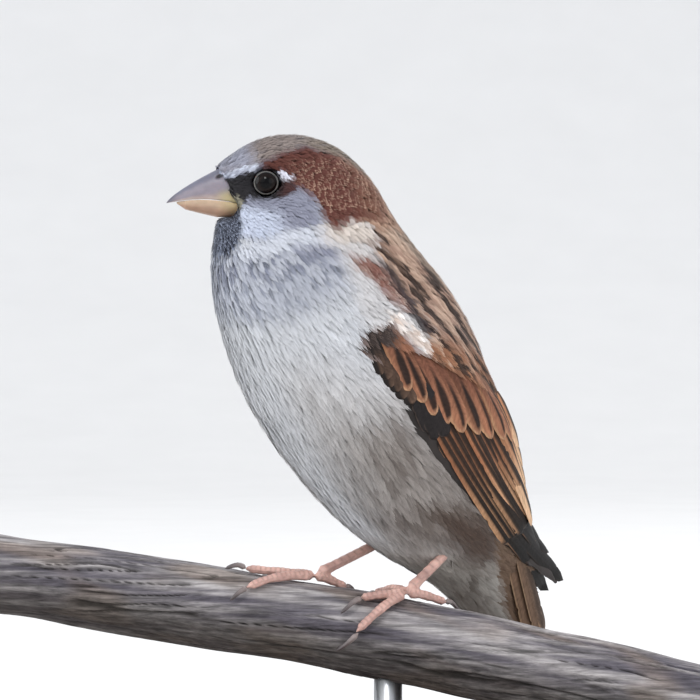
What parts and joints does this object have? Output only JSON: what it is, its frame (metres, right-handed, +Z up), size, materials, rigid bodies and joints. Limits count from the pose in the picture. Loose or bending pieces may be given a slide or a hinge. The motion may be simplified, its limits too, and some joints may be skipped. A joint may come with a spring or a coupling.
{
  "type": "house sparrow",
  "caption": "Life-size male house sparrow perched on a short weathered branch, held by a rod on a flat base.",
  "frame": {"origin": "middle of the underside of the stand's base", "axes": "+Z up; the branch runs along X, its thick end towards +X; the bird looks along -X and turns its breast towards -Y"},
  "size_m": [0.156, 0.078, 0.1472],
  "materials": {
    "plumage_head": "matte",
    "plumage_pale": "matte",
    "plumage_wing": "matte",
    "plumage_dark": "matte",
    "bill_upper": "satin",
    "bill_lower": "satin",
    "eye": "polished",
    "leg": "satin",
    "claw": "satin",
    "bark": "rough",
    "steel": "brushed",
    "plinth": "satin"
  },
  "bodies": {
    "root": {"head": "plumage_head", "neck": "plumage_pale", "trunk": "plumage_pale", "tail": "plumage_dark", "wing_left": "plumage_wing", "wing_right": "plumage_wing", "bill_upper": "bill_upper", "bill_lower": "bill_lower", "eye_left": "eye", "eye_right": "eye", "tarsus_left": "leg", "tarsus_right": "leg", "thigh_left": "plumage_pale", "thigh_right": "plumage_pale", "perch_branch": "bark", "stand_rod": "steel", "stand_base": "plinth", "toe_left_1": "leg", "toe_left_2": "leg", "toe_left_3": "leg", "toe_left_4": "leg", "toe_right_1": "leg", "toe_right_2": "leg", "toe_right_3": "leg", "toe_right_4": "leg", "claw_left_1": "claw", "claw_left_2": "claw", "claw_left_3": "claw", "claw_left_4": "claw", "claw_right_1": "claw", "claw_right_2": "claw", "claw_right_3": "claw", "claw_right_4": "claw"}
  },
  "joints": []
}
